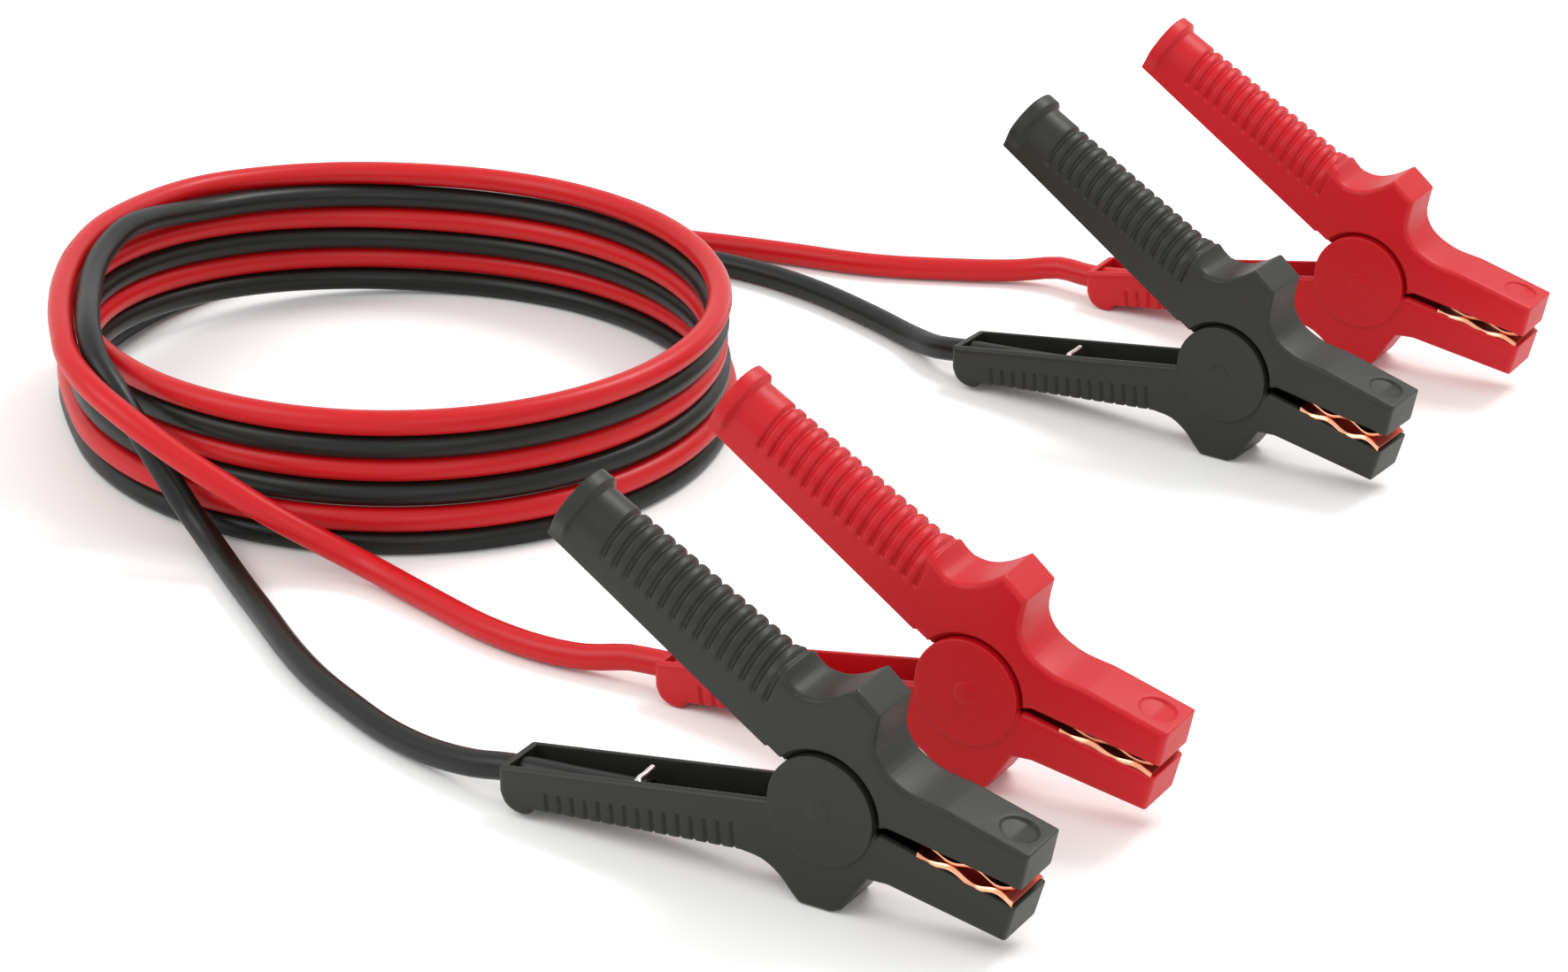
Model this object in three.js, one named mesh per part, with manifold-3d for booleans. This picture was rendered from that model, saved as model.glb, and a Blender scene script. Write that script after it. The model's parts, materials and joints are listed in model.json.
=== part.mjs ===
// Car jumper cable set: a red and a black booster cable, coiled together, with an insulated
// spring clamp on each of the four ends. Millimetres, +Z up, the floor at z = 0.
import * as THREE from 'three';
import { mergeVertices } from 'three/addons/utils/BufferGeometryUtils.js';
import Module from 'manifold-3d';

const wasm = await Module();
wasm.setup();

// Cable and coil
const cableDiameter = 8.5;
const coilRadius = 113;
const turnsPerCable = 3;
const cableSides = 8;
const coilSteps = 40;
const leadStep = 21;

// Clearance between pieces that touch, and the running clearance round the pin
const clearance = 0.3;
const pinClearance = 0.3;
const holeClearance = 0.5;

// Clamp widths, across the jaws
const clampWidth = 20;
const shellWall = 2.5;
const edgeRound = 1.6;
const archSteps = 5;
const earProud = 1;
const cheekWall = 2.2;

// Pivot, and how far below it the finger guard under it reaches
const footDepth = 32;
const pinRadius = 3;
const earRadius = 17;
const earSides = 36;

// Handle, measured from the pin
const handleLength = 110;
const handleDepth = 17.5;
const collarLength = 5;
const collarHeight = 2;
const saddleHeight = 34;
const bumpHeight = 40.2;
const bumpLength = 7.7;

// Jaws, measured from the pin
const jawLength = 64;
const jawDepth = 11.5;
const dimpleRadius = 5.5;
const dimpleDepth = 0.8;
const plateThickness = 1.1;
const plateWave = 1.1;
const plateStart = 24;
const plateTipSetback = 2;

// Channel of the lower shell, measured from the pin
const channelLength = 109;
const channelFloor = 2;
const rearDepth = 12;

// Torsion spring
const springWire = 2.2;
const springRadius = 8;
const springLegLength = 63;

// Each clamp's pivot, seen from the coil's axis, and in degrees the turn of its long axis, how far
// its lower half is closed onto the upper one, and how far the whole clamp leans forward
const clampPlaces = [
  { name: 'front_black', colour: 'black', x: 148.6, y: -336, yaw: -31, closing: 0, lean: 0 },
  { name: 'front_red', colour: 'red', x: 191.6, y: -265.7, yaw: -31, closing: 2, lean: 0.6 },
  { name: 'back_black', colour: 'black', x: 287.4, y: -31, yaw: -35, closing: 0, lean: 0 },
  { name: 'back_red', colour: 'red', x: 342.7, y: 50.3, yaw: -31, closing: 2, lean: 0.6 },
];

const finishes = {
  red: new THREE.MeshStandardMaterial({ color: 0xc31e24, roughness: 0.45, metalness: 0 }),
  black: new THREE.MeshStandardMaterial({ color: 0x373632, roughness: 0.5, metalness: 0 }),
  redCable: new THREE.MeshStandardMaterial({ color: 0xc8191c, roughness: 0.4, metalness: 0 }),
  blackCable: new THREE.MeshStandardMaterial({ color: 0x212524, roughness: 0.4, metalness: 0 }),
  copper: new THREE.MeshStandardMaterial({ color: 0xc8714a, roughness: 0.3, metalness: 1 }),
  steel: new THREE.MeshStandardMaterial({ color: 0xc9c9c6, roughness: 0.3, metalness: 1 }),
};

// Widths that follow from the clamp's own: half widths from the middle plane
const shellHalf = clampWidth / 2;
const shellInner = shellHalf - shellWall;
const earOuter = shellHalf + earProud;
const cheekOuter = shellInner - clearance;
const cheekInner = cheekOuter - cheekWall;
const recessRadius = earRadius + clearance;
const cableRadius = cableDiameter / 2;

function toSolid(geometry) {
  const bare = geometry.index ? geometry.toNonIndexed() : geometry;
  bare.deleteAttribute('normal');
  bare.deleteAttribute('uv');
  const merged = mergeVertices(bare, 1e-4);
  const mesh = new wasm.Mesh({
    numProp: 3,
    vertProperties: new Float32Array(merged.attributes.position.array),
    triVerts: new Uint32Array(merged.index.array),
  });
  mesh.merge();
  return new wasm.Manifold(mesh);
}

function toGeometry(solid) {
  const mesh = solid.getMesh();
  const geometry = new THREE.BufferGeometry();
  geometry.setAttribute('position', new THREE.BufferAttribute(mesh.vertProperties, 3));
  geometry.setIndex(new THREE.BufferAttribute(mesh.triVerts, 1));
  return geometry;
}

// A side outline (x along the clamp, y up) as a plate between two distances across the clamp
function plate(outline, from, to, round = 0) {
  const shape = outline instanceof THREE.Shape ? outline : new THREE.Shape(outline);
  const geometry = new THREE.ExtrudeGeometry(shape, {
    depth: to - from - 2 * round,
    bevelEnabled: round > 0,
    bevelThickness: round,
    bevelSize: round,
    bevelOffset: -round,
    bevelSegments: 1,
    curveSegments: 5,
  });
  geometry.rotateX(Math.PI / 2);
  geometry.translate(0, to - round, 0);
  return toSolid(geometry);
}

// A round bar or hole across the clamp
function crossBar(radius, from, to, x = 0, z = 0, sides = 24) {
  const geometry = new THREE.CylinderGeometry(radius, radius, to - from, sides);
  geometry.translate(x, (from + to) / 2, z);
  return toSolid(geometry);
}

// Moves each edge of an anticlockwise outline inwards by its own distance
function inset(points, distances) {
  const count = points.length;
  return points.map((point, i) => {
    const before = points[(i + count - 1) % count];
    const after = points[(i + 1) % count];
    const inA = point.clone().sub(before).normalize();
    const inB = after.clone().sub(point).normalize();
    const normalA = new THREE.Vector2(-inA.y, inA.x);
    const normalB = new THREE.Vector2(-inB.y, inB.x);
    const a = distances[(i + count - 1) % count];
    const b = distances[i];
    const cross = inA.x * inB.y - inA.y * inB.x;
    if (Math.abs(cross) < 0.02) {
      return point.clone().addScaledVector(normalA, a);
    }
    // the two moved edges meet where the first, run on by s, reaches the second
    const start = point.clone().addScaledVector(normalA, a);
    const other = point.clone().addScaledVector(normalB, b);
    const s = ((other.x - start.x) * inB.y - (other.y - start.y) * inB.x) / cross;
    return start.addScaledVector(inA, s);
  });
}

const at = (x, y) => new THREE.Vector2(x, y);
const centre = at(0, 0);
const degrees = THREE.MathUtils.degToRad;

// Points of a smooth curve through the given ones, for the concave stretches of an outline
function curveThrough(points, steps) {
  return new THREE.SplineCurve(points).getPoints(steps);
}

// Handle: its lower edge and its ribbed back, as seen from the side
const handleSlope = degrees(34);
const backSlope = degrees(29.3);
const handleAlong = at(-Math.cos(handleSlope), Math.sin(handleSlope));
const backAlong = at(-Math.cos(backSlope), Math.sin(backSlope));
const handleRoot = at(-13, 12);
const handleHeel = handleRoot.clone().addScaledVector(handleAlong, handleLength - handleRoot.length());
const backUp = at(Math.sin(backSlope), Math.cos(backSlope));
const backEnd = handleHeel.clone().addScaledVector(backUp, handleDepth);
const backLength = handleLength - 36;
const backRoot = backEnd.clone().addScaledVector(backAlong, -backLength);

// Jaws: where the upper and the lower jaw end, and the mouth between them
const upperTip = at(jawLength + 1, 3.9);
const upperLip = at(jawLength - 1.3, -7.5);
const lowerLip = at(jawLength - 2.7, -13.3);
const lowerTip = at(jawLength - 6, -13.3 - jawDepth);
const upperThroat = at(20.8, -0.3);
const lowerThroat = at(18.5, -2.8);

function upperOutline() {
  const bump = at(10.5, bumpHeight);
  const bumpFront = at(bump.x + bumpLength, bump.y - 0.8 * bumpLength);
  const low = [at(-10, saddleHeight + 1.2), at(-6, saddleHeight), at(0, saddleHeight + 0.6)];
  const saddle = curveThrough([backRoot, ...low, at(5.5, saddleHeight + 3), bump], 9);
  const neck = curveThrough([at(17, 28), at(16.7, 23.5), at(19.4, 18), at(27.3, 13.2), at(39, 10.9)], 9);
  const boss = [at(9, -4.5), at(0, -9.5), at(-9, -3)];
  const outline = [handleHeel, handleRoot, ...boss.reverse(), upperThroat, upperLip, upperTip];
  return [...outline, ...neck.reverse(), bumpFront, ...saddle.reverse(), backEnd];
}

// Arch-shaped bar along the handle's back; grow makes it larger all round
function archBar(from, to, grow) {
  const section = new THREE.Shape();
  const half = shellHalf + grow;
  const straight = -handleDepth * 2;
  section.moveTo(-half, straight);
  section.lineTo(half, straight);
  section.lineTo(half, -shellHalf);
  section.absarc(0, -shellHalf, half, 0, Math.PI, false);
  const options = { depth: to - from, bevelEnabled: false, curveSegments: archSteps };
  const geometry = new THREE.ExtrudeGeometry(section, options);
  // section x runs across the clamp, section y up from the back line, and the bar runs down the back
  const along = new THREE.Vector3(-backAlong.x, 0, -backAlong.y);
  const up = new THREE.Vector3(Math.sin(backSlope), 0, Math.cos(backSlope));
  const across = new THREE.Vector3().crossVectors(up, along);
  const frame = new THREE.Matrix4().makeBasis(across, up, along);
  frame.setPosition(backEnd.x + along.x * from, 0, backEnd.y + along.z * from);
  geometry.applyMatrix4(frame);
  return toSolid(geometry);
}

function upperShell() {
  const outline = upperOutline();
  const open = -2;
  const openEdges = 7;
  const walls = outline.map((_, i) => (i < openEdges - 1 ? open : shellWall));
  let body = plate(outline, -shellHalf, shellHalf, edgeRound);

  // the handle's back is half round; the head and jaw keep their flat sides
  const reach = 2 * jawLength;
  const headZone = [at(-14, -reach), at(reach, -reach), at(reach, reach), at(-14, reach)];
  const head = plate(headZone, -shellHalf, shellHalf);
  body = body.intersect(head.add(archBar(-1, backLength + handleDepth, 0)));
  body = body.add(archBar(0, collarLength, collarHeight).intersect(handleZone(collarHeight)));

  // hollow, open below, narrower between the cheeks that the ears cover
  const hollow = plate(inset(outline, walls), -shellInner, shellInner);
  const drum = recessRadius + shellWall;
  const cheeks = crossBar(drum, cheekInner, shellHalf, 0, 0, earSides)
    .add(crossBar(drum, -shellHalf, -cheekInner, 0, 0, earSides));
  body = body.subtract(hollow.subtract(cheeks));
  body = body.subtract(crossBar(recessRadius, cheekOuter, earOuter + 1, 0, 0, earSides));
  body = body.subtract(crossBar(recessRadius, -earOuter - 1, -cheekOuter, 0, 0, earSides));
  body = body.subtract(crossBar(pinRadius + pinClearance, -shellHalf, shellHalf));
  return body.subtract(dimple());
}

// The part of the handle's side view that the collar may fill
function handleZone(grow) {
  const corner = backEnd.clone().addScaledVector(backUp, grow);
  const front = corner.clone().addScaledVector(backAlong, -collarLength);
  const foot = front.clone().addScaledVector(backUp, -handleDepth * 0.75 - grow);
  const heel = corner.clone().addScaledVector(backUp, -handleDepth * 0.75 - grow);
  return plate([heel, foot, front, corner], -shellHalf * 2, shellHalf * 2);
}

// Round thumb mark in the flat top of the upper jaw, near its tip
function dimple() {
  const neckEnd = at(39, 10.9);
  const slope = Math.atan2(upperTip.y - neckEnd.y, upperTip.x - neckEnd.x);
  const middle = neckEnd.clone().lerp(upperTip, 0.7);
  const geometry = new THREE.CylinderGeometry(dimpleRadius, dimpleRadius, 2 * dimpleDepth, 24);
  geometry.rotateX(Math.PI / 2);
  geometry.rotateY(-slope);
  geometry.translate(middle.x, 0, middle.y);
  return toSolid(geometry);
}

// Rear of the channel: the bottom stays a set depth below the rim
const rimRoot = at(-17, -1.6);
const rimHeel = at(-channelLength, -16.5);
const bottomHeel = rimHeel.clone().add(at(11.5, 0.5 - rearDepth));
const bottomRoot = at(-26.5, -20.6);

function lowerOutline() {
  const bulge = [at(0, -8), at(2, -12.5), at(6, -13.8)].map((point) => point.add(rimHeel));
  const guard = curveThrough([bottomRoot, at(-19.5, -21.6), at(-14, -25), at(-10, -29.5)], 5);
  const foot = [at(-7.5, -footDepth), at(3, -footDepth), at(6, 1.5 - footDepth)];
  const chin = [at(14.5, -18.2), at(21, -17.9)];
  const top = [lowerTip, lowerLip, lowerThroat, at(12, -5), at(-12, -5), rimRoot];
  return [rimHeel, ...bulge, bottomHeel, ...guard, ...foot, ...chin, ...top];
}

function lowerShell() {
  const outline = lowerOutline();
  const open = -6;
  const topEdges = 6;
  const walls = outline.map((_, i) => {
    if (i > outline.length - topEdges) {
      return open;
    }
    return i < 1 ? shellWall : channelFloor;
  });
  walls[outline.length - topEdges] = shellWall;
  let body = plate(outline, -shellHalf, shellHalf, edgeRound);
  body = body.subtract(plate(inset(outline, walls), -shellInner, shellInner));
  for (const side of [-1, 1]) {
    const from = side > 0 ? shellInner : -earOuter;
    body = body.add(crossBar(earRadius, from, from + earOuter - shellInner, 0, 0, earSides));
  }
  body = body.subtract(crossBar(pinRadius + pinClearance, -earOuter - 1, earOuter + 1));
  return body.subtract(cableHole());
}

// The cable lies on the channel's floor and comes in through the rear wall
const cableSlope = Math.atan2(bottomRoot.y - bottomHeel.y, bottomRoot.x - bottomHeel.x);
const cableEntry = at(-channelLength, bottomHeel.y + channelFloor + cableRadius);

function cableHole() {
  const radius = cableRadius + holeClearance;
  const geometry = new THREE.CylinderGeometry(radius, radius, 4 * shellWall, 20);
  geometry.rotateZ(Math.PI / 2);
  geometry.translate(cableEntry.x + shellWall, 0, cableEntry.y);
  return toSolid(geometry);
}

// Copper jaw plates: waved strips that face each other over the middle of the mouth, which is
// narrower where the lower half is closed further
function jawPlate(side, closing) {
  const throat = lowerThroat.clone().rotateAround(centre, degrees(closing));
  const lip = lowerLip.clone().rotateAround(centre, degrees(closing));
  const start = at(plateStart, (upperThroat.y + throat.y) / 2 - 0.6);
  const end = upperLip.clone().add(lip).multiplyScalar(0.5).sub(at(plateTipSetback, 0));
  const steps = 18;
  const facing = [];
  const backing = [];
  for (let i = 0; i <= steps; i += 1) {
    const t = i / steps;
    const middle = start.clone().lerp(end, t);
    const wave = plateWave * (0.5 - 0.5 * Math.cos(2 * Math.PI * 3 * t));
    const off = clearance / 2 + wave;
    facing.push(middle.clone().add(at(0, side * off)));
    backing.push(middle.clone().add(at(0, side * (off + plateThickness))));
  }
  const ring = side > 0 ? [...facing, ...backing.reverse()] : [...backing, ...facing.reverse()];
  return plate(ring, -cheekOuter, cheekOuter);
}

function pin() {
  return crossBar(pinRadius, -earOuter, earOuter);
}

// A leg of the spring: a bar from the coil, with a hook bent across its end
function springLeg(from, to, side) {
  const path = new THREE.CurvePath();
  const start = new THREE.Vector3(from.x, side * (cheekInner - springWire), from.y);
  const bend = new THREE.Vector3(to.x, side * (cheekInner - springWire), to.y);
  const end = new THREE.Vector3(to.x, -side * (cheekInner - springWire), to.y);
  const parts = [];
  for (const [a, b] of [[start, bend], [bend, end]]) {
    const line = new THREE.LineCurve3(a, b);
    const section = new THREE.Shape();
    section.absarc(0, 0, springWire / 2, 0, 2 * Math.PI, false);
    const geometry = new THREE.ExtrudeGeometry(section, {
      steps: 1,
      curveSegments: 4,
      bevelEnabled: false,
      extrudePath: line,
    });
    parts.push(toSolid(geometry));
  }
  const elbow = new THREE.SphereGeometry(springWire / 2, 8, 6);
  elbow.translate(bend.x, bend.y, bend.z);
  return parts[0].add(parts[1]).add(toSolid(elbow));
}

function spring() {
  const half = cheekInner - clearance;
  let coil = crossBar(springRadius, -half, half);
  coil = coil.subtract(crossBar(springRadius - springWire, -half - 1, half + 1));
  const lowerEnd = at(-springLegLength, -11.2);
  const upperEnd = handleAlong.clone().multiplyScalar(springLegLength).add(at(2, 9));
  const tangent = springRadius - springWire / 2;
  return coil.add(springLeg(at(0, -tangent), lowerEnd, 1)).add(springLeg(at(0, tangent), upperEnd, -1));
}

// Height of a clamp's pivot over the floor: its lower shell stands on its lowest point
function standHeight(place) {
  const turn = degrees(place.closing - place.lean);
  return Math.max(...lowerOutline().map((point) => -point.clone().rotateAround(centre, turn).y));
}

// The four clamps, each in a group of its own that stands on the floor
const set = new THREE.Group();
const clampGroup = new THREE.Group();
const shells = { lower: toGeometry(lowerShell()), upper: toGeometry(upperShell()) };
const metal = { pin: toGeometry(pin()), spring: toGeometry(spring()) };
for (const place of clampPlaces) {
  const clamp = new THREE.Group();
  const leaning = new THREE.Group();
  const add = (name, geometry, finish) => {
    const mesh = new THREE.Mesh(geometry, finishes[finish]);
    mesh.name = `${place.name}_${name}`;
    leaning.add(mesh);
    return mesh;
  };
  add('lower_shell', shells.lower, place.colour).rotation.y = -degrees(place.closing);
  add('upper_shell', shells.upper, place.colour);
  add('lower_jaw_plate', toGeometry(jawPlate(-1, place.closing)), 'copper');
  add('upper_jaw_plate', toGeometry(jawPlate(1, place.closing)), 'copper');
  add('pivot_pin', metal.pin, 'steel');
  add('torsion_spring', metal.spring, 'steel');
  leaning.rotation.y = degrees(place.lean);
  clamp.add(leaning);
  clamp.position.set(place.x, place.y, standHeight(place));
  clamp.rotation.z = degrees(place.yaw);
  clampGroup.add(clamp);
}

// The coil: every turn is a ring, red on black, three pairs high
const coilGroup = new THREE.Group();
const ringCount = 2 * turnsPerCable;
for (let layer = 0; layer < ringCount; layer += 1) {
  const colour = layer % 2 === 0 ? 'black' : 'red';
  const radius = cableRadius - clearance / 2;
  const section = [];
  for (let i = 0; i <= cableSides; i += 1) {
    const angle = -2 * Math.PI * (i / cableSides) + Math.PI / 2;
    section.push(at(coilRadius + radius * Math.cos(angle), radius * Math.sin(angle)));
  }
  const ring = new THREE.LatheGeometry(section.reverse(), coilSteps);
  ring.rotateX(Math.PI / 2);
  const mesh = new THREE.Mesh(ring, finishes[`${colour}Cable`]);
  mesh.name = `${colour}_cable_turn_${Math.floor(layer / 2) + 1}`;
  mesh.position.z = cableRadius + layer * cableDiameter;
  coilGroup.add(mesh);
}

// A point inside a clamp's channel, on the cable's axis, seen from the coil's axis
function channelPoint(place, along) {
  const rise = Math.max(0, (along - cableEntry.x) * Math.tan(cableSlope));
  const local = at(along, cableEntry.y + rise).rotateAround(centre, degrees(place.closing - place.lean));
  const turn = degrees(place.yaw);
  return new THREE.Vector3(
    place.x + local.x * Math.cos(turn),
    place.y + local.x * Math.sin(turn),
    local.y + standHeight(place),
  );
}

// The four free leads: from the channel, over the floor, to where each joins its turn
const leadRoutes = {
  front_red: [
    [86, -203.5, 8], [72, -198, 5.4], [57, -190, 4.6], [40, -177, 4.6], [20, -156, 4.8],
    [0, -137, 6.8], [-16, -130, 12.5], [-31.7, -127.1, 20.5], [-46.9, -122.3, 28.5],
    [-63.5, -114.6, 36.5], [-79.3, -105.3, 44.5], [-92.8, -92.8, 50.3], [-102.3, -75.7, 53.2],
    [-107.3, -57, 54.8], [-111.4, -34.1, 55.4], [-113.1, -9.9, 55.5], [-111.9, 15.7, 55.5],
    [-104.8, 42.3, 55.5],
  ],
  front_black: [
    [42, -272, 8], [28, -260, 5.6], [14, -245, 4.6], [2, -229, 4.6], [-10, -211, 4.6], [-20, -192, 4.6],
    [-31, -167, 4.6], [-42, -142, 4.6], [-51.5, -120.1, 5.2], [-60.5, -107.3, 11.5],
    [-67.4, -101.9, 20.5], [-73.3, -98, 29], [-79.4, -92.9, 38], [-85.8, -86.7, 46.6],
    [-92.3, -78.3, 52.6], [-97.1, -64.3, 56.6], [-100.1, -46.7, 57.2], [-102.4, -27.4, 56.2],
    [-104.1, -7.3, 55.5], [-103.1, 16.3, 55.5], [-96.8, 39.1, 55.5],
  ],
  back_red: [
    [236, 116.5, 8], [220, 121, 5.2], [202, 123, 4.6], [167, 128, 4.6], [131, 141, 4.6],
    [104, 150, 4.6], [75, 158, 4.6], [40, 163, 4.6], [0, 161, 4.6], [-40, 149, 4.6], [-74, 129, 6],
    [-99, 98, 10], [-112, 62, 13], [-118.9, 25, 12.8],
  ],
  back_black: [
    [188.5, 41, 8], [180, 57, 5], [166, 77, 4.6], [146, 101, 4.6], [127, 118, 4.6], [106, 131, 4.6],
    [80, 140, 4.6], [45, 145, 4.6], [8, 145, 4.6], [-30, 137, 4.6], [-65, 119, 4.6], [-92, 92, 4.6],
    [-109.5, 60, 4.5], [-118.9, 25, 4.3],
  ],
};
const leadInside = 47;

function leadTube(place) {
  const inside = [leadInside, leadInside / 2].map((along) => channelPoint(place, along - channelLength));
  const entry = channelPoint(place, -channelLength - shellWall);
  const free = leadRoutes[place.name].map(([x, y, z]) => new THREE.Vector3(x, y, z));
  const route = new THREE.CatmullRomCurve3([...inside, entry, ...free], false, 'centripetal');
  const section = new THREE.Shape();
  for (let i = 0; i < cableSides; i += 1) {
    const angle = 2 * Math.PI * (i / cableSides);
    const x = (cableRadius - clearance / 2) * Math.cos(angle);
    const y = (cableRadius - clearance / 2) * Math.sin(angle);
    if (i === 0) {
      section.moveTo(x, y);
    } else {
      section.lineTo(x, y);
    }
  }
  section.closePath();
  return new THREE.ExtrudeGeometry(section, {
    steps: Math.round(route.getLength() / leadStep),
    bevelEnabled: false,
    extrudePath: route,
  });
}

for (const place of clampPlaces) {
  const mesh = new THREE.Mesh(leadTube(place), finishes[`${place.colour}Cable`]);
  mesh.name = `${place.name}_lead`;
  coilGroup.add(mesh);
}

// The origin is on the floor, in the middle of the four clamps
clampGroup.updateMatrixWorld(true);
const middle = new THREE.Box3().setFromObject(clampGroup, true).getCenter(new THREE.Vector3());
set.add(clampGroup, coilGroup);
set.position.set(-middle.x, -middle.y, 0);
set.updateMatrixWorld(true);

export default set;
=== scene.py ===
import json
import math

import bmesh
import bpy
from mathutils import Matrix, Vector


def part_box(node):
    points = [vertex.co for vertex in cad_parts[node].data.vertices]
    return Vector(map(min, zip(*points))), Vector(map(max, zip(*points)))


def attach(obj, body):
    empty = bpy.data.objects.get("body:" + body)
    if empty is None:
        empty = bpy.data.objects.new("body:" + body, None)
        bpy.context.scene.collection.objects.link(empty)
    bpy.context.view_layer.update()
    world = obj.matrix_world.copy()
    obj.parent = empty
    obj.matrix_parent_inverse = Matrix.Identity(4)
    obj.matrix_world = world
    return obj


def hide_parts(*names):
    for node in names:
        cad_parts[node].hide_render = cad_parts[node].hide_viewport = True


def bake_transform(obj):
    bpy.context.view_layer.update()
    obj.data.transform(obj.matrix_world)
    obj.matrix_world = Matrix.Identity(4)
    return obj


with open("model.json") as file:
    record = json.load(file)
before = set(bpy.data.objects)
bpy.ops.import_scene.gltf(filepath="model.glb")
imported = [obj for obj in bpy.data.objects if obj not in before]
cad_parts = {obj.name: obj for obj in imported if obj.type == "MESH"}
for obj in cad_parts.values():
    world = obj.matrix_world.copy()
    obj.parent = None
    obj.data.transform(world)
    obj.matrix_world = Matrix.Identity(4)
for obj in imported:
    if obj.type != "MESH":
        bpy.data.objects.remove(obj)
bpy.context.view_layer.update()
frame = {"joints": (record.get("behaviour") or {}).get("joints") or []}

mm = 0.001

# Camera, floor and light. The coil lies round a vertical axis, and the photograph's viewpoint is
# counted from where that axis meets the floor, in millimetres and degrees.
image_pixels, focal_pixels, sensor_width = 1772, 5077.8, 36
viewpoint = Vector((133.36, -1438.44, 637.06))
downward = 24.808
low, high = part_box("black_cable_turn_1")
coil_axis = Vector(((low.x + high.x) / 2, (low.y + high.y) / 2, 0))
camera_data = bpy.data.cameras.new("photo_camera")
camera_data.sensor_width = sensor_width
camera_data.lens = sensor_width * focal_pixels / image_pixels
camera_data.clip_end = 20
camera = bpy.data.objects.new("photo_camera", camera_data)
camera.location = coil_axis + viewpoint * mm
camera.rotation_euler = (math.radians(90 - downward), 0, 0)
bpy.context.collection.objects.link(camera)
bpy.context.scene.camera = camera
bpy.context.scene.view_settings.view_transform = "Standard"


def soft_light(name, place, size, power, colour=(1, 1, 1)):
    data = bpy.data.lights.new(name, "AREA")
    data.shape = "DISK"
    data.size = size
    data.energy = power
    data.color = colour
    lamp = bpy.data.objects.new(name, data)
    lamp.location = place
    lamp.rotation_euler = (coil_axis * 0.2 - Vector(place)).to_track_quat("-Z", "Y").to_euler()
    bpy.context.collection.objects.link(lamp)


soft_light("high_key", (1.1, 0.9, 2.0), 1.0, 30)
soft_light("side_fill", (-1.7, -0.5, 1.6), 1.4, 16)
soft_light("front_fill", (0.3, -2.2, 1.3), 1.2, 7)

studio = bpy.data.worlds.new("studio")
bpy.context.scene.world = studio
studio.use_nodes = True
sky = studio.node_tree.nodes["Background"]
sky.inputs["Color"].default_value = (1, 1, 1, 1)
sky.inputs["Strength"].default_value = 1.0

floor_mesh = bpy.data.meshes.new("floor")
reach = 9
corners = [(-reach, -reach, 0), (reach, -reach, 0), (reach, reach, 0), (-reach, reach, 0)]
floor_mesh.from_pydata(corners, [], [(0, 1, 2, 3)])
floor = bpy.data.objects.new("floor", floor_mesh)
bpy.context.collection.objects.link(floor)
pale = bpy.data.materials.new("pale_floor")
pale.use_nodes = True
paint = pale.node_tree.nodes["Principled BSDF"]
paint.inputs["Base Color"].default_value = (0.93, 0.93, 0.92, 1)
paint.inputs["Roughness"].default_value = 0.7
floor_mesh.materials.append(pale)


# The two cables. Each is fine-stranded copper in a smooth PVC sheath, 8.5 mm across and 3 m long,
# laid in three turns with the other one and clamped at each end in a lower shell's channel.
class Socket:
    """A node socket on which Python's arithmetic adds the matching nodes."""

    def __init__(self, tree, socket=None):
        self.tree = tree
        self.socket = socket

    def node(self, kind, settings, values, out=0):
        node = self.tree.nodes.new(kind)
        for key, value in settings.items():
            setattr(node, key, value)
        for key, value in values.items():
            if isinstance(value, Socket):
                self.tree.links.new(value.socket, node.inputs[key])
            else:
                node.inputs[key].default_value = value
        return Socket(self.tree, node.outputs[out])

    def maths(self, operation, first, second=0.0):
        return self.node("ShaderNodeMath", {"operation": operation}, {0: first, 1: second})

    def __add__(self, other):
        return self.maths("ADD", self, other)

    def __mul__(self, other):
        return self.maths("MULTIPLY", self, other)

    def __sub__(self, other):
        return self.maths("SUBTRACT", self, other)

    def clamped(self):
        return self.node("ShaderNodeMath", {"operation": "ADD", "use_clamp": True}, {0: self, 1: 0.0})


def new_material(name):
    material = bpy.data.materials.new(name)
    material.use_nodes = True
    tree = material.node_tree
    surface = tree.nodes["Principled BSDF"]
    place = Socket(tree).node("ShaderNodeTexCoord", {}, {}, "Object")
    return material, surface, place


def noise(place, scale, detail=2.0, roughness=0.5):
    values = {"Vector": place, "Scale": scale, "Detail": detail, "Roughness": roughness}
    return place.node("ShaderNodeTexNoise", {"noise_dimensions": "3D"}, values)


def mix_colours(factor, first, second):
    values = {0: factor, 6: first, 7: second}
    return factor.node("ShaderNodeMix", {"data_type": "RGBA", "clamp_factor": True}, values, 2)


def join(value, surface, name):
    value.tree.links.new(value.socket, surface.inputs[name])


def bump(height, strength, distance):
    values = {"Strength": strength, "Distance": distance, "Height": height}
    return height.node("ShaderNodeBump", {}, values)


def sheath(name, colour, dusty):
    material, surface, place = new_material(name)
    patches = noise(place, 14, 3)
    fine = noise(place, 420, 3)
    join(mix_colours((patches - 0.35) * 1.3, (*colour, 1), (*dusty, 1)), surface, "Base Color")
    join(patches * 0.16 + fine * 0.08 + 0.26, surface, "Roughness")
    join(bump(fine * 0.4 + noise(place, 60, 2) * 0.6, 0.12, 0.0006), surface, "Normal")
    surface.inputs["Specular IOR Level"].default_value = 0.3
    return material


cable_finish = {
    "red": sheath("red_pvc", (0.49, 0.003, 0.006), (0.42, 0.003, 0.005)),
    "black": sheath("black_pvc", (0.0045, 0.006, 0.0045), (0.007, 0.008, 0.006)),
}

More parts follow.
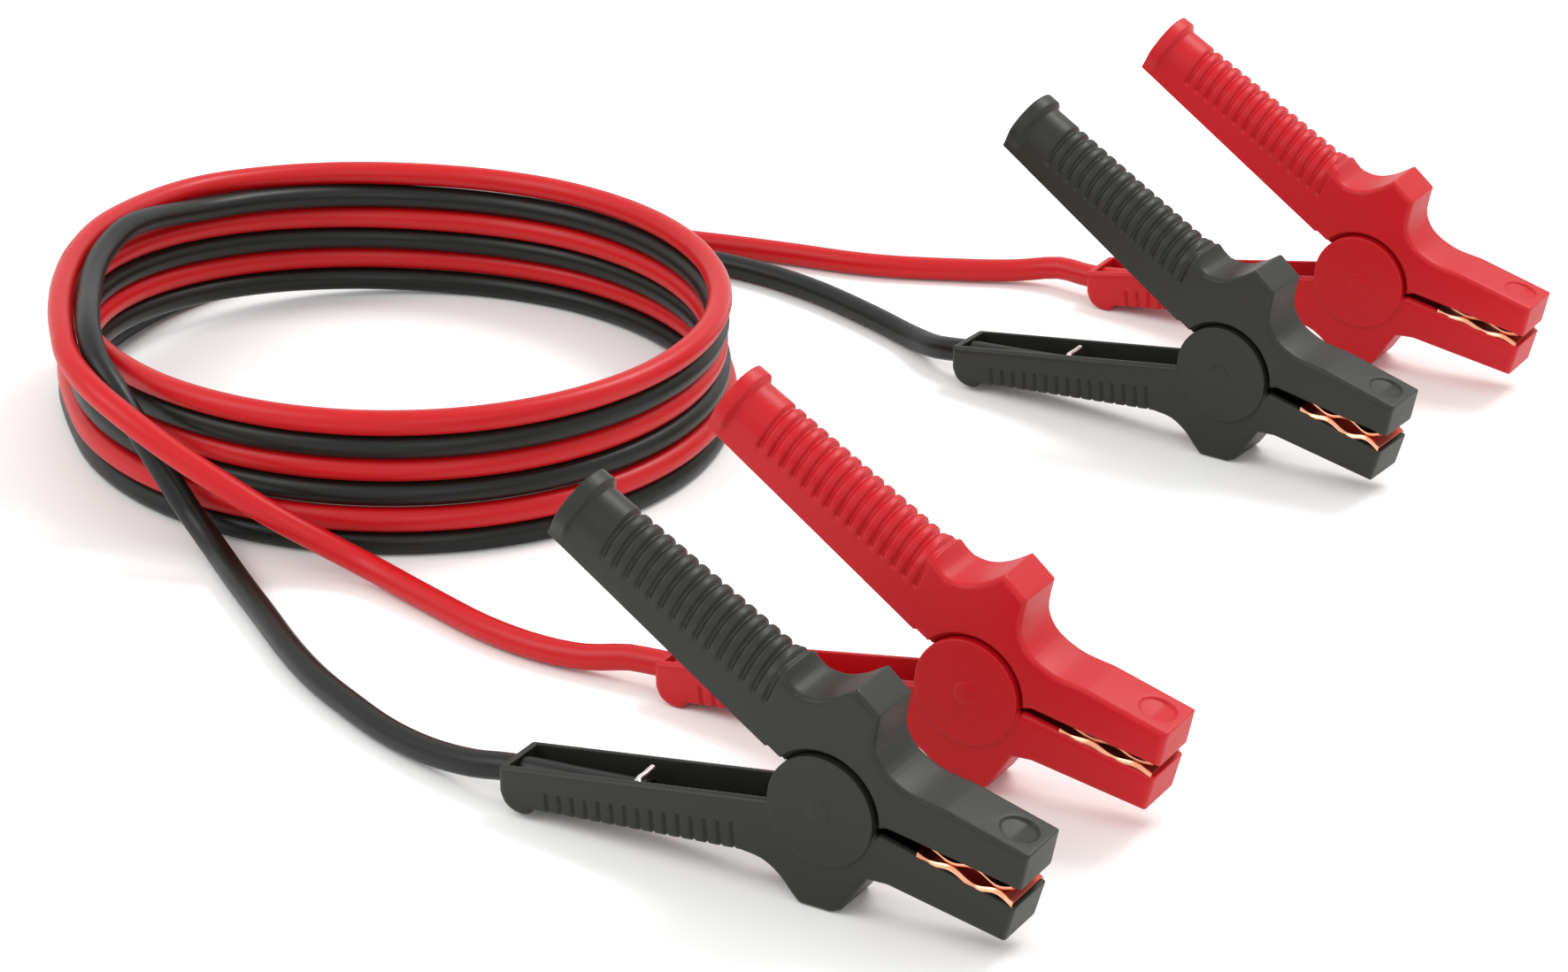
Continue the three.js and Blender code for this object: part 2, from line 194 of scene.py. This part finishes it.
# each clamp's colour, how far its lower half is closed onto the upper one, and its forward lean
clamps = {
    "front_black": ("black", 0.0, 0.0),
    "front_red": ("red", 2.0, 0.6),
    "back_black": ("black", 0.0, 0.0),
    "back_red": ("red", 2.0, 0.6),
}
root = "lower_clamps_and_cables"
upper_frame = {}
lower_frame = {}
for name, (colour, closing, lean) in clamps.items():
    low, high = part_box(name + "_pivot_pin")
    hinge = next(joint for joint in frame["joints"] if joint["name"] == name + "_pivot")
    yaw = math.atan2(hinge["axis"][0], -hinge["axis"][1])
    stand = Matrix.Translation((low + high) / 2) @ Matrix.Rotation(yaw, 4, "Z")
    for half, tilt in ((upper_frame, lean), (lower_frame, lean - closing)):
        half[name] = stand @ Matrix.Rotation(math.radians(tilt), 4, "Y") @ Matrix.Scale(mm, 4)


# the cable enters the channel level, and inside it follows the channel's sloping floor
entry_x, entry_z, floor_rise = -109, -21.75, 7.4 / 71
cable_radius, cable_length = 4.25, 3.0
inside_places = (-62, -85.5, -111.5)


def in_channel(name, along):
    rise = max(0.0, (along - entry_x) * floor_rise)
    return lower_frame[name] @ Vector((along, 0, entry_z + rise))


# the free ends' points, in millimetres from the coil's axis, from the clamp to the coil
free_ends = {
    "front_red": [
        (86, -203.5, 8), (72, -198, 5.4), (57, -190, 4.6), (40, -177, 4.6), (20, -156, 4.8),
        (0, -137, 6.8), (-16, -130, 12.5), (-31.7, -127.1, 20.5), (-46.9, -122.3, 28.5),
        (-63.5, -114.6, 36.5), (-79.3, -105.3, 44.5), (-92.8, -92.8, 50.3), (-102.3, -75.7, 53.2),
        (-107.3, -57, 54.8), (-111.4, -34.1, 55.4), (-113.1, -9.9, 55.5), (-111.9, 15.7, 55.5),
        (-104.8, 42.3, 55.5),
    ],
    "front_black": [
        (42, -272, 8), (28, -260, 5.6), (14, -245, 4.6), (2, -229, 4.6), (-10, -211, 4.6),
        (-20, -192, 4.6),
        (-31, -167, 4.6), (-42, -142, 4.6), (-51.5, -120.1, 5.2), (-60.5, -107.3, 11.5),
        (-67.4, -101.9, 20.5), (-73.3, -98, 29), (-79.4, -92.9, 38), (-85.8, -86.7, 46.6),
        (-92.3, -78.3, 52.6), (-97.1, -64.3, 56.6), (-100.1, -46.7, 57.2), (-102.4, -27.4, 56.2),
        (-104.1, -7.3, 55.5), (-103.1, 16.3, 55.5), (-96.8, 39.1, 55.5),
    ],
    "back_red": [
        (236, 116.5, 8), (220, 121, 5.2), (202, 123, 4.6), (167, 128, 4.6), (131, 141, 4.6),
        (104, 150, 4.6), (75, 158, 4.6), (40, 163, 4.6), (0, 161, 4.6), (-40, 149, 4.6), (-74, 129, 6),
        (-99, 98, 10), (-112, 62, 13), (-118.9, 25, 12.8),
    ],
    "back_black": [
        (188.5, 41, 8), (180, 57, 5), (166, 77, 4.6), (146, 101, 4.6), (127, 118, 4.6), (106, 131, 4.6),
        (80, 140, 4.6), (45, 145, 4.6), (8, 145, 4.6), (-30, 137, 4.6), (-65, 119, 4.6), (-92, 92, 4.6),
        (-109.5, 60, 4.5), (-118.9, 25, 4.3),
    ],
}
# The pair lies as a slightly oval coil, red on black. Each turn is level for two thirds of the way
# round, and on the last third it climbs onto the pair below, or to the free end after the third.
coil_start, coil_step, coil_end = 195, 15, 69
steps_round, level_steps = 24, 16
long_side, oval_swell = 312, 2.8
turn_heights = {"black": (4.2, 21, 37.7, 56), "red": (12.7, 29.4, 46.3, 58.5)}
turn_radii = {"black": (112, 111, 110.5, 101), "red": (113, 110, 111.5, 115)}


def smooth_step(low_edge, high_edge, value):
    t = min(1.0, max(0.0, (value - low_edge) / (high_edge - low_edge)))
    return t * t * (3 - 2 * t)


def coil_points(colour):
    points = []
    for step in range(coil_end):
        turn, way = divmod(step, steps_round)
        climb = smooth_step(level_steps, steps_round, way)
        low, high = turn_heights[colour][turn:turn + 2]
        before, after = turn_radii[colour][turn:turn + 2]
        angle = math.radians(coil_start + coil_step * step)
        swell = oval_swell * math.cos(2 * (angle - math.radians(long_side)))
        radius = before + (after - before) * climb + swell
        height = low + (high - low) * climb
        points.append((radius * math.cos(angle), radius * math.sin(angle), height))
    return points


def smooth_through(points, gap):
    """A centripetal curve through the points, as a list of places about a gap apart."""
    ends = [2 * points[0] - points[1], *points, 2 * points[-1] - points[-2]]
    places = []
    for a, b, c, d in zip(ends, ends[1:], ends[2:], ends[3:]):
        at_b = math.sqrt((b - a).length)
        at_c = at_b + math.sqrt((c - b).length)
        at_d = at_c + math.sqrt((d - c).length)
        count = max(2, round((c - b).length / gap))
        for k in range(count):
            t = at_b + (at_c - at_b) * k / count
            ab, bc = a.lerp(b, t / at_b), b.lerp(c, k / count)
            cd = c.lerp(d, (t - at_c) / (at_d - at_c))
            early = ab.lerp(bc, t / at_c)
            late = bc.lerp(cd, (t - at_b) / (at_d - at_b))
            places.append(early.lerp(late, k / count))
    places.append(points[-1])
    return places


for colour in ("black", "red"):
    front, back = "front_" + colour, "back_" + colour
    loose = [coil_axis + Vector(p) * mm for p in free_ends[back] + coil_points(colour)]
    loose += [coil_axis + Vector(p) * mm for p in reversed(free_ends[front])]
    start = [in_channel(back, along) for along in inside_places]
    end = [in_channel(front, along) for along in reversed(inside_places)]
    places = smooth_through(start + loose + end, 5 * mm)
    curve = bpy.data.curves.new(colour + "_cable", "CURVE")
    curve.dimensions = "3D"
    curve.bevel_depth = cable_radius * mm
    curve.bevel_resolution = 4
    curve.use_fill_caps = True
    line = curve.splines.new("POLY")
    line.points.add(len(places) - 1)
    for point, place in zip(line.points, places):
        point.co = (*place, 1)
    line.use_smooth = True
    curve.materials.append(cable_finish[colour])
    cable = bpy.data.objects.new(colour + "_cable", curve)
    bpy.context.collection.objects.link(cable)
    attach(cable, root)
    turn_rings = [f"{colour}_cable_turn_{k}" for k in (1, 2, 3)]
    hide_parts(front + "_lead", back + "_lead", *turn_rings)


# Side outlines of the clamp's mouldings, in millimetres from the pivot, x towards the jaws.
# Every clamp is the same: two ABS mouldings that turn on a steel pin, the lower with two round ears.
def inset(points, distances):
    moved = []
    for i, point in enumerate(points):
        before, after = points[i - 1], points[(i + 1) % len(points)]
        a = (point - before).normalized()
        b = (after - point).normalized()
        first = point + Vector((-a.y, a.x)) * distances[i - 1]
        second = point + Vector((-b.y, b.x)) * distances[i]
        cross = a.x * b.y - a.y * b.x
        if abs(cross) > 0.02:
            gap = second - first
            first = first + a * ((gap.x * b.y - gap.y * b.x) / cross)
        moved.append(first)
    return moved


def tube_of(loops):
    """A closed mesh through loops of equally many points, capped at both ends."""
    mesh = bmesh.new()
    rows = [[mesh.verts.new(p) for p in loop] for loop in loops]
    count = len(rows[0])
    for one, two in zip(rows, rows[1:]):
        for k in range(count):
            mesh.faces.new((one[k], one[(k + 1) % count], two[(k + 1) % count], two[k]))
    mesh.faces.new(list(reversed(rows[0])))
    mesh.faces.new(rows[-1])
    bmesh.ops.recalc_face_normals(mesh, faces=mesh.faces)
    return mesh


def plate(outline, low_side, high_side, rounding=0.0, steps=3):
    """A side outline as a plate between two distances across the clamp."""
    layers = [(low_side, 0.0), (high_side, 0.0)]
    if rounding:
        quarter = [math.radians(90 * k / steps) for k in range(steps + 1)]
        corner = [(rounding * (1 - math.sin(t)), rounding * (1 - math.cos(t))) for t in quarter]
        layers = [(low_side + depth, shrink) for depth, shrink in reversed(corner)]
        layers += [(high_side - depth, shrink) for depth, shrink in corner]
    loops = []
    for across, shrink in layers:
        shape = inset(outline, [shrink] * len(outline)) if shrink else outline
        loops.append([(p.x, across, p.y) for p in shape])
    return tube_of(loops)


def disc(radius, low_side, high_side, sides=64):
    around = [2 * math.pi * k / sides for k in range(sides)]
    rim = [Vector((radius * math.cos(t), radius * math.sin(t))) for t in around]
    return plate(rim, low_side, high_side)


def solid(mesh, name="stock"):
    data = bpy.data.meshes.new(name)
    mesh.to_mesh(data)
    mesh.free()
    body = bpy.data.objects.new(name, data)
    bpy.context.collection.objects.link(body)
    return body


def shape_of(body):
    bpy.context.view_layer.update()
    shown = body.evaluated_get(bpy.context.evaluated_depsgraph_get())
    return bpy.data.meshes.new_from_object(shown)


def take_shape(body):
    shaped = shape_of(body)
    body.modifiers.clear()
    body.data = shaped


def cut(body, tool, operation="DIFFERENCE"):
    """Joins, cuts or crosses the body with the tool, and uses the tool up."""
    if isinstance(tool, bmesh.types.BMesh):
        tool = solid(tool)
    modifier = body.modifiers.new("cut", "BOOLEAN")
    modifier.operation = operation
    modifier.solver = "EXACT"
    modifier.object = tool
    take_shape(body)
    bpy.data.objects.remove(tool)


def soften(body, voxel, passes, share):
    """Gives the moulding the small radii of its tool: remeshed finely, smoothed and thinned out."""
    remesh = body.modifiers.new("remesh", "REMESH")
    remesh.mode = "VOXEL"
    remesh.voxel_size = voxel
    remesh.adaptivity = 0.0
    smooth = body.modifiers.new("smooth", "SMOOTH")
    smooth.factor = 0.5
    smooth.iterations = passes
    thin = body.modifiers.new("thin", "DECIMATE")
    thin.ratio = share
    take_shape(body)
    for face in body.data.polygons:
        face.use_smooth = True


def fair(points, steps):
    length = sum((Vector(a) - Vector(b)).length for a, b in zip(points, points[1:]))
    spots = smooth_through([Vector((x, y, 0)) for x, y in points], length / steps)
    return [Vector((p.x, p.y)) for p in spots]


handle_slope = math.radians(34)
back_slope = math.radians(29.3)
handle_along = Vector((-math.cos(handle_slope), math.sin(handle_slope)))
back_along = Vector((-math.cos(back_slope), math.sin(back_slope)))
back_up = Vector((math.sin(back_slope), math.cos(back_slope)))
handle_root = Vector((-13, 12))
handle_heel = handle_root + handle_along * (110 - handle_root.length)
back_end = handle_heel + back_up * 17.5
back_root = back_end - back_along * 78
saddle_points = [(-11, 37), (-8, 34.6), (-4, 33.9), (0, 34.6), (4.5, 36.5), (10.5, 40.2)]
saddle = fair([tuple(back_root), *saddle_points], 18)
jaw_back = Vector((39, 10.9))
neck = fair([(18.2, 33.8), (17, 28), (16.7, 23.5), (19.4, 18), (27.3, 13.2), tuple(jaw_back)], 18)

# Upper shell: one black or red moulding. Its handle is an inverted trough with a half-round, ribbed
# back and a collar at the end; the head has a thumb saddle, a stop and the upper jaw.
throat, lip, tip = Vector((20.8, -0.3)), Vector((62.7, -7.5)), Vector((65, 3.9))
boss = [Vector(p) for p in ((-9, -3), (0, -9.5), (9, -4.5))]
half_width, moulded_edge, pocket_half = 10, 1.8, 7.5
jaw_and_neck = [handle_root, *boss, throat, lip, tip, *reversed(neck)]
outline = [handle_heel, *jaw_and_neck, *reversed(saddle), back_end]
open_sides = 6
walls = [-2.0] * open_sides + [2.5] * (len(outline) - open_sides)
crown = [p for p in reversed(saddle) if p.x > -8.5]
head = [Vector((-24, 19.4)), *jaw_and_neck, *crown, Vector((-16.5, 30))]
upper = solid(plate(head, -half_width, half_width, moulded_edge))

rib_pitch, rib_depth, rib_start, rib_count = 4.38, 1.1, 16.4, 15
saddle_line = [((p - back_end).dot(-back_along), (p - back_end).dot(back_up)) for p in saddle]


def top_of(s):
    for (s0, n0), (s1, n1) in zip(saddle_line, saddle_line[1:]):
        if s0 <= s <= s1:
            return n0 + (n1 - n0) * (s - s0) / (s1 - s0)
    return 0.0


def handle_section(s, grow=0.0, below=0.0):
    top = top_of(s) + grow
    bottom = -17.5 - max(0.0, s) * math.tan(handle_slope - back_slope)
    squareness = 2 + 7 * smooth_step(75, 84, s)
    groove_end = -11.6 - 1.4 * (s - rib_start) / (rib_pitch * rib_count)
    half = half_width + grow
    side = [bottom - below + (top - half - bottom + below) * k / 24 for k in range(24)]
    loop = [(half, n) for n in side]
    for k in range(33):
        t = math.pi * k / 32
        across = math.copysign(abs(math.cos(t)) ** (2 / squareness), math.cos(t)) * half
        loop.append((across, top - half + half * abs(math.sin(t)) ** (2 / squareness)))
    loop += [(-half, n) for n in reversed(side)]
    points = []
    for across, n in loop:
        lean = s + n * math.tan(handle_slope - back_slope) - rib_start
        groove = rib_pitch * min(max(round(lean / rib_pitch), 0), rib_count - 1)
        away = math.hypot(lean - groove, min(0.0, n - groove_end - 0.9))
        depth = 0.0 if grow else rib_depth * (1 - smooth_step(0.3, 1.2, away))
        if grow > 0:
            fading = 1 - smooth_step(bottom, bottom + 9, n)
            across *= 1 - (1 - half_width / half) * fading
        centre = top - half
        out = Vector((across, max(0.0, n - centre)))
        if out.length > 0:
            across -= depth * out.x / out.length
            n -= depth * out.y / out.length
        spot = back_end - back_along * s + back_up * n
        points.append((spot.x, across, spot.y))
    return points


slice_gap, slice_count = 0.4, 216
cut(upper, tube_of([handle_section(slice_gap * k) for k in range(slice_count)]), "UNION")
collar_steps = ((0, 2.0), (4.2, 2.0), (5.6, 0.001))
collar = tube_of([handle_section(s, grow) for s, grow in collar_steps])
cut(upper, collar, "UNION")

# the trough, open below and 2.5 mm in from the outside or more by the head, and the head's pocket
trough = []
for s in (2.5, 20, 40, 60, 68, 72, 76, 80, 86):
    trough.append(handle_section(s, -2.5 - 2.2 * smooth_step(68, 76, s), 4))
cut(upper, tube_of(trough))
pocket = solid(plate(inset(outline, walls), -pocket_half, pocket_half))
pocket_reach = [Vector(p) for p in ((-18, -40), (90, -40), (90, 60), (-6, 60), (-6, 32), (-18, 24))]
cut(pocket, solid(plate(pocket_reach, -8, 8)), "INTERSECT")
for low_side, high_side in ((5.0, 12), (-12, -5.0)):
    cut(pocket, disc(19.8, low_side, high_side))
cut(upper, pocket)

# the round seats of the lower shell's ears, stepped at the rim, and the hole for the pin
for low_side, high_side in ((7.2, 13), (-13, -7.2)):
    cut(upper, disc(17.3, low_side, high_side))
for low_side, high_side in ((8.2, 13), (-13, -8.2)):
    cut(upper, disc(18.6, low_side, high_side))
pin_hole = 3.3
cut(upper, disc(pin_hole, -12, 12))

# the round mark pressed into the top of the jaw, deepest along its middle
jaw_slope = math.atan2(tip.y - jaw_back.y, tip.x - jaw_back.x)
mark = jaw_back.lerp(tip, 0.7)
hollow = [Vector(p) for p in ((-6, 0.4), (-5.5, -0.5), (0, -1.1), (5.5, -0.5), (6, 0.4))]
dimple = solid(plate(hollow, -6, 6))
round_edge = disc(5.6, -2, 2, sides=40)
upright = Matrix.Rotation(math.pi / 2, 4, "X")
bmesh.ops.transform(round_edge, matrix=upright, verts=round_edge.verts)
cut(dimple, round_edge, "INTERSECT")
onto_jaw = Matrix.Translation((mark.x, 0, mark.y)) @ Matrix.Rotation(-jaw_slope, 4, "Y")
dimple.data.transform(onto_jaw)
cut(upper, dimple)
soften(upper, 0.34, 3, 0.14)

# Lower shell: the other moulding. A straight trough that holds the cable runs back from a finger
# guard, with short grooves along its lower sides. The lower jaw and two round ears are in front.
rim_root, rim_heel = Vector((-17, -1.6)), Vector((-109, -16.5))
bottom_heel, bottom_root = Vector((-97.5, -28)), Vector((-26.5, -20.6))
bulge = fair([(-109, -24.5), (-107.3, -28.2), (-103.5, -30.3), (-99.5, -30.2), (-98, -28.6)], 8)
guard = fair([tuple(bottom_root), (-19.5, -21.6), (-14, -25), (-10, -29.5), (-7.5, -32)], 10)
chin = [(3, -32), (6, -30.5), (14.5, -18.2), (21, -17.9), (58, -24.8)]
jaw_top = [(61.3, -13.3), (18.5, -2.8), (12, -5), (-12, -5)]
front = [Vector(p) for p in chin + jaw_top]
outline = [rim_heel, *bulge, bottom_heel, *guard, *front, rim_root]
walls = [2.5] + [2.0] * (len(outline) - 7) + [2.5] + [-6.0] * 5
lower = solid(plate(outline, -half_width, half_width, moulded_edge))

# the slots stop 0.9 mm under the surface, where a smaller copy of the shell is left standing
groove_depth, groove_pitch, first_groove = 0.9, 4.5, -91.6
deep_half = half_width - groove_depth
ridges = solid(plate(inset(outline, [groove_depth] * len(outline)), -deep_half, deep_half))
slots = None
for k in range(15):
    x = first_groove + groove_pitch * k
    bottom = bottom_heel.y + (x - bottom_heel.x) * floor_rise
    top = bottom + 6.6 + 0.15 * k
    shape = [(x - 0.5, bottom - 2), (x + 0.7, bottom - 2), (x - 0.2, top), (x - 1.3, top)]
    slot = solid(plate([Vector(point) for point in shape], -12, 12))
    if slots is None:
        slots = slot
    else:
        cut(slots, slot, "UNION")
cut(slots, ridges)
cut(lower, slots)
cut(lower, plate(inset(outline, walls), -pocket_half, pocket_half))
ear_radius, ear_thickness = 17, 3.5
for low_side in (-pocket_half - ear_thickness, pocket_half):
    cut(lower, disc(ear_radius, low_side, low_side + ear_thickness), "UNION")
cut(lower, disc(pin_hole, -9.4, 9.4))
for low_side in (-11.4, 10.5):
    cut(lower, disc(3.1, low_side, low_side + 0.9), "UNION")
cable_hole = disc(cable_radius + 0.5, -6, 6, sides=32)
at_entry = Matrix.Translation((-108, 0, entry_z)) @ Matrix.Rotation(math.pi / 2, 4, "Z")
bmesh.ops.transform(cable_hole, matrix=at_entry, verts=cable_hole.verts)
cut(lower, cable_hole)
soften(lower, 0.36, 3, 0.16)


def moulded(name, colour, light):
    material, surface, place = new_material(name)
    grain = noise(place, 900, 2)
    clouds = noise(place, 25, 4)
    scuffs = noise(place, 160, 5, 0.7)
    wear = ((scuffs - 0.62) * 5).clamped()
    base = mix_colours((clouds - 0.3) * 1.2, (*colour, 1), tuple(c * 1.12 for c in colour) + (1,))
    join(mix_colours(wear * 0.35, base, (*light, 1)), surface, "Base Color")
    join(clouds * 0.1 + wear * 0.1 + 0.4, surface, "Roughness")
    join(bump(grain * 0.5 + scuffs * 0.5, 0.16, 0.0003), surface, "Normal")
    surface.inputs["Specular IOR Level"].default_value = 0.3
    return material


plastic = {
    "red": moulded("red_moulding", (0.45, 0.003, 0.007), (0.52, 0.015, 0.016)),
    "black": moulded("black_moulding", (0.0155, 0.016, 0.012), (0.035, 0.03, 0.024)),
}
for part, shell, frames in (("upper", upper, upper_frame), ("lower", lower, lower_frame)):
    for name, (colour, closing, lean) in clamps.items():
        mesh = shell.data.copy()
        mesh.transform(frames[name])
        mesh.name = f"{name}_{part}_moulding"
        mesh.materials.clear()
        mesh.materials.append(plastic[colour])
        moulding = bpy.data.objects.new(mesh.name, mesh)
        bpy.context.collection.objects.link(moulding)
        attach(moulding, f"{name}_upper_jaw" if part == "upper" else root)
        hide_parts(f"{name}_{part}_shell")
    bpy.data.objects.remove(shell)


# Pivot pin: a plain turned steel pin, 6 mm across, pressed into blind holes in the lower shell's
# two ears, which hide its ends.
def metal(name, colour, roughness, grain_scale, stain):
    material, surface, place = new_material(name)
    grain = noise(place, grain_scale, 4, 0.6)
    marks = noise(place, 90, 3)
    join(mix_colours((marks - 0.4) * 1.5, (*colour, 1), (*stain, 1)), surface, "Base Color")
    join(grain * 0.2 + roughness, surface, "Roughness")
    join(bump(grain, 0.15, 0.0002), surface, "Normal")
    surface.inputs["Metallic"].default_value = 1.0
    return material


steel = metal("zinc_plated_steel", (0.72, 0.72, 0.7), 0.14, 700, (0.55, 0.55, 0.54))
# two copies of the same copper: a darker one that paints shade on the middle of each jaw sheet, and a
# brighter one that paints a highlight on its rolled edges
shaded_copper = metal("shaded_copper", (0.42, 0.07, 0.04), 0.3, 500, (0.25, 0.04, 0.03))
copper = metal("painted_highlight_copper", (0.93, 0.45, 0.28), 0.12, 500, (0.7, 0.22, 0.12))
pin_radius, pin_half = 3, 9.2
for name in clamps:
    mesh = bpy.data.meshes.new(name + "_pin")
    shaft = disc(pin_radius, -pin_half, pin_half)
    shaft.to_mesh(mesh)
    shaft.free()
    mesh.transform(lower_frame[name])
    mesh.materials.append(steel)
    pin = bpy.data.objects.new(mesh.name, mesh)
    bpy.context.collection.objects.link(pin)
    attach(pin, root)
    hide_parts(name + "_pivot_pin")


# Torsion spring: bent from one length of 2.2 mm steel wire, with its coil round the pin and a hook
# across the end of each leg, one over the cable and one under the handle.
spring_radius, spring_half, wire_radius = 6.9, 4.6, 1.1
coil_turns, facets, leg_length = 4.5, 16, 61
wire = []
last = int(coil_turns * facets)
for k in range(last + 1):
    t = -math.pi / 2 - 2 * math.pi * k / facets
    across = -spring_half + 2 * spring_half * k / last
    wire.append((spring_radius * math.cos(t), across, spring_radius * math.sin(t)))
lower_hook = [(-64.5, 4.4, -11), (-64.2, 0, -11), (-63.8, -4.6, -11), (-61.5, -6, -12.2)]
lower_leg = [*lower_hook, (-50, -6.1, -13), (-20, -5.6, -12)]
end = handle_along * leg_length
end_z = end.y + 11
upper_leg = [(end.x * 0.5, 5.6, end.y * 0.5 + 11), (end.x + 3, 5.6, end_z)]
upper_hook = [(end.x + 2, 4.2, end_z), (end.x + 2, -4.2, end_z)]
for name in clamps:
    points = [Vector(p) for p in lower_leg + wire + upper_leg + upper_hook]
    curve = bpy.data.curves.new(name + "_spring", "CURVE")
    curve.dimensions = "3D"
    curve.bevel_depth = wire_radius
    curve.bevel_resolution = 3
    curve.use_fill_caps = True
    line = curve.splines.new("POLY")
    places = smooth_through(points, 1.6)
    line.points.add(len(places) - 1)
    for point, place in zip(line.points, places):
        point.co = (*place, 1)
    bent = bpy.data.objects.new(name + "_spring_wire", curve)
    bpy.context.collection.objects.link(bent)
    mesh = shape_of(bent)
    bpy.data.objects.remove(bent)
    mesh.transform(upper_frame[name])
    for face in mesh.polygons:
        face.use_smooth = True
    mesh.materials.clear()
    mesh.materials.append(steel)
    spring = bpy.data.objects.new(name + "_spring", mesh)
    bpy.context.collection.objects.link(spring)
    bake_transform(spring)
    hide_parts(name + "_torsion_spring")


# Jaw plates: two thin copper sheets pressed into waves, so that they bite a battery post at their
# crests, with rolled long edges, riveted inside the jaws.
sheet_thickness, roll_start, roll_curve = 0.5, 8.2, 0.9
edge_places = (roll_start, 8.6, 8.9, 9.2)
across_places = (*[-y for y in reversed(edge_places)], 0, *edge_places)
first_crest, wave_pitch, wave_steps, sheet_end = 40.6, 14.7, 72, 0.96
for name, (colour, closing, lean) in clamps.items():
    turn = Matrix.Rotation(math.radians(closing), 2)
    jaw_throat = turn @ Vector((18.5, -2.8))
    jaw_lip = turn @ Vector((61, -13.3))
    for part, side, begin in (("upper", 1, 0.36), ("lower", -1, 0.25)):
        loops = []
        for k in range(wave_steps + 1):
            t = begin + (sheet_end - begin) * k / wave_steps
            above, under = throat.lerp(lip, t), jaw_throat.lerp(jaw_lip, t)
            middle = (above + under) / 2
            crest = 0.5 + 0.5 * math.cos(2 * math.pi * (middle.x - first_crest) / wave_pitch)
            off = 0.12 + ((above - under).length / 2 - 0.55) * (1 - crest)
            facing = []
            for y in across_places:
                roll = roll_curve * max(0.0, abs(y) - roll_start) ** 2
                facing.append((y, side * (off + roll)))
            backing = [(y, z + side * sheet_thickness) for y, z in reversed(facing)]
            loops.append([(middle.x, y, middle.y + z) for y, z in facing + backing])
        sheet = tube_of(loops)
        mesh = bpy.data.meshes.new(f"{name}_{part}_copper")
        sheet.to_mesh(mesh)
        sheet.free()
        mesh.materials.append(copper)
        mesh.materials.append(shaded_copper)
        # the rolled edges get the copper with a painted highlight, the middle of each sheet the copper
        # with painted shade
        for face in mesh.polygons:
            face.material_index = int(abs(face.center.y) < 8.3)
        mesh.transform(upper_frame[name])
        plate_piece = bpy.data.objects.new(mesh.name, mesh)
        bpy.context.collection.objects.link(plate_piece)
        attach(plate_piece, f"{name}_upper_jaw" if part == "upper" else root)
        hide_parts(f"{name}_{part}_jaw_plate")
